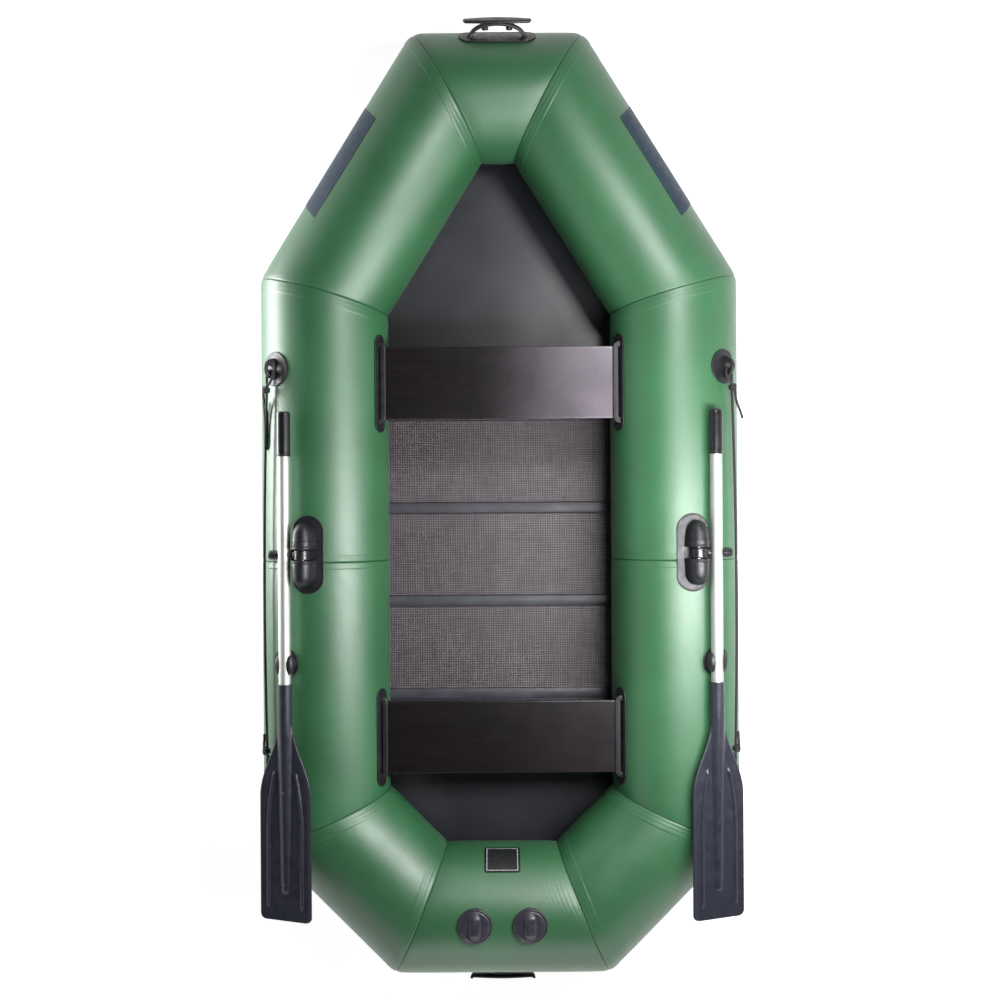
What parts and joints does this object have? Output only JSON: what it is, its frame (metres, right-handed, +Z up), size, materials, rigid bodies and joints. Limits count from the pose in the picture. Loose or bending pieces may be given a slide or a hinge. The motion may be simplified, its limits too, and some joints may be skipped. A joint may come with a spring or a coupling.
{
  "type": "rowing boat",
  "caption": "Small inflatable rowing boat: octagonal tube ring, fabric floor with a slat mat, plank seats on rails, oars hinged on oarlocks, lifelines and end handles.",
  "frame": {"origin": "middle of the floor's flat underside, halfway between the ends of the tubes and on the centreline", "axes": "+X to starboard, +Y to the bow, +Z up"},
  "size_m": [1.2217, 2.4516, 0.3755],
  "materials": {
    "tube_fabric": "semi-gloss coated fabric, green",
    "floor_fabric": "matte coated fabric, dark grey",
    "slat_wood": "film-faced plywood with an anti-slip mesh",
    "seat_wood": "film-faced plywood, dark brown",
    "fittings": "moulded, black",
    "axle_steel": "brushed",
    "shaft_metal": "satin anodised",
    "grips": "ribbed, black",
    "blades": "moulded, blue-black",
    "rope": "braided, black",
    "plate": "blank label with a pale border",
    "patches": "blank dark blue patch"
  },
  "bodies": {
    "hull": {"bow_tube": "tube_fabric", "bow_right_tube": "tube_fabric", "bow_left_tube": "tube_fabric", "side_front_right_tube": "tube_fabric", "side_front_left_tube": "tube_fabric", "side_rear_right_tube": "tube_fabric", "side_rear_left_tube": "tube_fabric", "stern_right_tube": "tube_fabric", "stern_left_tube": "tube_fabric", "stern_tube": "tube_fabric", "floor_sheet": "floor_fabric", "slat_mat": "floor_fabric", "floor_slat_front": "slat_wood", "floor_slat_middle": "slat_wood", "floor_slat_rear": "slat_wood", "front_seat": "seat_wood", "rear_seat": "seat_wood", "front_seat_brackets": "fittings", "rear_seat_brackets": "fittings", "oarlock_base_right": "fittings", "oarlock_base_left": "fittings", "oarlock_axle_right": "axle_steel", "oarlock_axle_left": "axle_steel", "oar_clips": "fittings", "lifeline_eyes_right": "fittings", "lifeline_eyes_left": "fittings", "lifeline_right": "rope", "lifeline_left": "rope", "bow_handle": "fittings", "stern_handle": "fittings", "valve_caps": "fittings", "rating_plate": "plate", "bow_patches": "patches"},
    "right_oar": {"oarlock_swivel_right": "fittings", "oarlock_cap_right": "fittings", "oar_shaft_right": "shaft_metal", "oar_grip_right": "grips", "oar_blade_right": "blades"},
    "left_oar": {"oarlock_swivel_left": "fittings", "oarlock_cap_left": "fittings", "oar_shaft_left": "shaft_metal", "oar_grip_left": "grips", "oar_blade_left": "blades"}
  },
  "joints": [
    {"name": "right_oar_lift", "type": "hinge", "parent": "hull", "child": "right_oar", "pos_m": [0.483, -0.125, 0.34901], "axis": [0, -1, 0], "range_deg": [0, 128]},
    {"name": "left_oar_lift", "type": "hinge", "parent": "hull", "child": "left_oar", "pos_m": [-0.483, -0.125, 0.34901], "axis": [0, 1, 0], "range_deg": [0, 128]}
  ]
}
